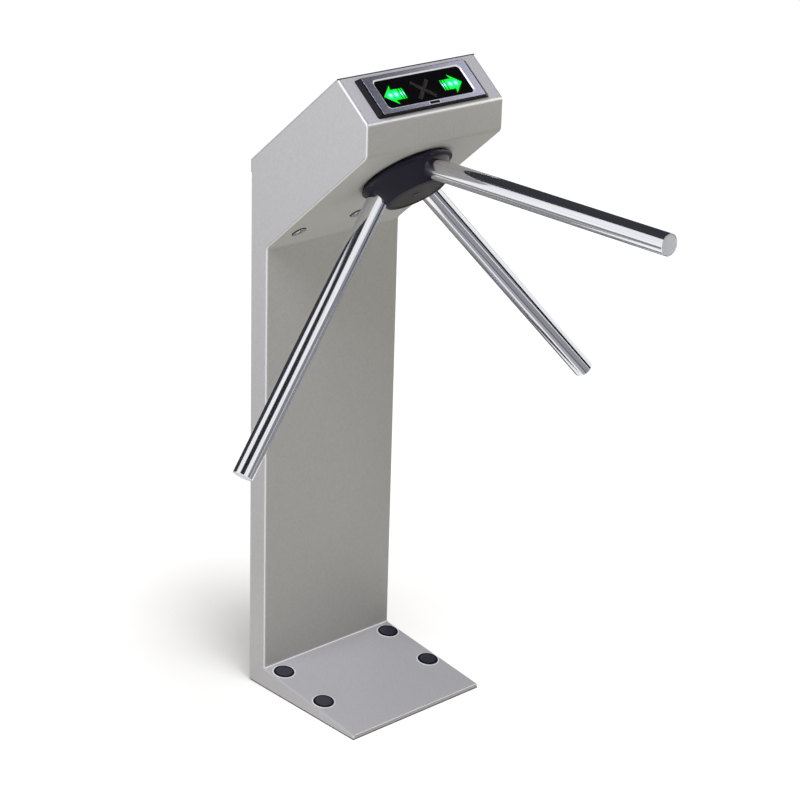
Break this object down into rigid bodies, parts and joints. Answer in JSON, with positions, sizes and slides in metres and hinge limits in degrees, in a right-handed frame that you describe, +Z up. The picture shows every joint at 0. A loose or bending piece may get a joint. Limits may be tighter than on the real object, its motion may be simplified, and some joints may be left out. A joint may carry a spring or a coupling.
{
  "type": "tripod turnstile",
  "caption": "Waist-high tripod turnstile: slim bent-sheet post with a wedge head and flat foot, slanted hub with tubular arms, arrow display on the sloped face.",
  "frame": {"origin": "on the floor, at the centre of the four anchor holes in the foot", "axes": "+Z up; the post's back faces +Y; the level arm reaches towards -Y; +X is the right side seen from in front of the display"},
  "size_m": [0.7332, 0.7213, 1.05],
  "materials": {
    "paint": "fine textured powder coat",
    "cover_paint": "fine textured powder coat",
    "steel_plate": "cut and ground",
    "zinc": "zinc plated",
    "polished_tube": "polished stainless steel",
    "polished_steel": "ground and polished",
    "cast_aluminium": "as cast and machined",
    "bezel_metal": "satin",
    "black_plastic": "moulded",
    "window_tint": "smoked clear plastic",
    "hub_plastic": "moulded, slightly glossy",
    "hub_disc": "moulded",
    "plug_plastic": "moulded",
    "rubber": "moulded",
    "board": "glass fibre board",
    "coil": "taped winding in a steel frame",
    "brass": "machined",
    "lit_green": "lit from behind",
    "unlit_grey": "unlit lens",
    "lock_chrome": "plated"
  },
  "bodies": {
    "housing": {"housing_shell": "paint", "post_back_panel": "paint", "base_plate": "steel_plate", "anchor_caps": "black_plastic", "cable_grommet": "rubber", "display_base": "black_plastic", "display_bezel": "bezel_metal", "display_window": "window_tint", "indicator_mask": "black_plastic", "arrow_left": "lit_green", "arrow_right": "lit_green", "cross_mark": "unlit_grey", "bezel_tag": "black_plastic", "indicator_board": "board", "mechanism_plate": "zinc", "plate_spacers": "zinc", "bearing_carrier": "cast_aluminium", "carrier_screws": "zinc", "bearing_outer_rings": "polished_steel", "bearing_balls": "polished_steel", "pawl_posts": "polished_steel", "solenoid_left": "coil", "solenoid_right": "coil", "solenoid_brackets": "zinc", "damper_bracket": "zinc", "damper_body": "black_plastic", "sensor_board": "board", "control_board": "board", "board_parts": "black_plastic", "terminal_blocks": "board", "board_standoffs": "brass", "lock_bodies": "lock_chrome", "lock_nuts": "zinc", "release_switch": "black_plastic", "spring_left": "polished_steel", "spring_right": "polished_steel"},
    "rotor": {"hub_body": "hub_plastic", "hub_cap": "hub_disc", "hub_cap_screw": "zinc", "hub_bolts": "zinc", "arm_front": "polished_tube", "arm_right": "polished_tube", "arm_left": "polished_tube", "arm_plugs": "plug_plastic", "arm_screws": "zinc", "main_shaft": "polished_steel", "bearing_inner_rings": "polished_steel", "lock_wheel": "steel_plate", "drive_gear": "brass", "encoder_disc": "black_plastic", "shaft_nut": "zinc"},
    "damper_rotor": {"damper_pinion": "brass"},
    "pawl_left": {"pawl_left": "steel_plate"},
    "pawl_right": {"pawl_right": "steel_plate"},
    "plunger_left": {"plunger_left": "polished_steel"},
    "plunger_right": {"plunger_right": "polished_steel"},
    "rear_cover": {"rear_cover": "cover_paint"},
    "cover_lock": {"cover_lock_barrel": "lock_chrome"},
    "release_lock": {"release_lock_barrel": "lock_chrome"}
  },
  "joints": [
    {"name": "rotor_spin", "type": "hinge", "parent": "housing", "child": "rotor", "pos_m": [0, -0.08382, 0.89103], "axis": [0, 0.6505, 0.7595], "continuous": true},
    {"name": "damper_spin", "type": "hinge", "parent": "housing", "child": "damper_rotor", "pos_m": [0, -0.12939, 0.93006], "axis": [0, 0.6505, 0.7595], "continuous": true},
    {"name": "pawl_right_turn", "type": "hinge", "parent": "housing", "child": "pawl_right", "pos_m": [0.06, -0.04965, 0.86176], "axis": [0, 0.6505, 0.7595], "range_deg": [-10.8, 0], "stiffness_Nm_per_rad": 0.5, "springref_deg": 11.46},
    {"name": "pawl_left_turn", "type": "hinge", "parent": "housing", "child": "pawl_left", "pos_m": [-0.06, -0.04965, 0.86176], "axis": [0, 0.6505, 0.7595], "range_deg": [0, 10.8], "stiffness_Nm_per_rad": 0.5, "springref_deg": -11.46},
    {"name": "plunger_right_slide", "type": "slide", "parent": "housing", "child": "plunger_right", "axis": [1, 0, 0], "range_m": [0, 0.00662], "deforming": ["spring_right"]},
    {"name": "plunger_left_slide", "type": "slide", "parent": "housing", "child": "plunger_left", "axis": [-1, 0, 0], "range_m": [0, 0.00662], "deforming": ["spring_left"]},
    {"name": "cover_lift", "type": "slide", "parent": "housing", "child": "rear_cover", "axis": [0, 0.6406, 0.7679], "range_m": [0, 0.15]},
    {"name": "cover_lock_turn", "type": "hinge", "parent": "housing", "child": "cover_lock", "pos_m": [-0.101, 0.04074, 0.78435], "axis": [0, 0.6505, 0.7595], "range_deg": [-90, 0]},
    {"name": "release_lock_turn", "type": "hinge", "parent": "housing", "child": "release_lock", "pos_m": [0, 0.02289, 0.79963], "axis": [0, 0.6505, 0.7595], "range_deg": [0, 90]}
  ],
  "couplings": [
    {"joint": "damper_spin", "follows": "rotor_spin", "ratio": -3},
    {"joint": "plunger_right_slide", "follows": "pawl_right_turn", "m_per_rad": -0.035},
    {"joint": "plunger_left_slide", "follows": "pawl_left_turn", "m_per_rad": 0.035}
  ]
}
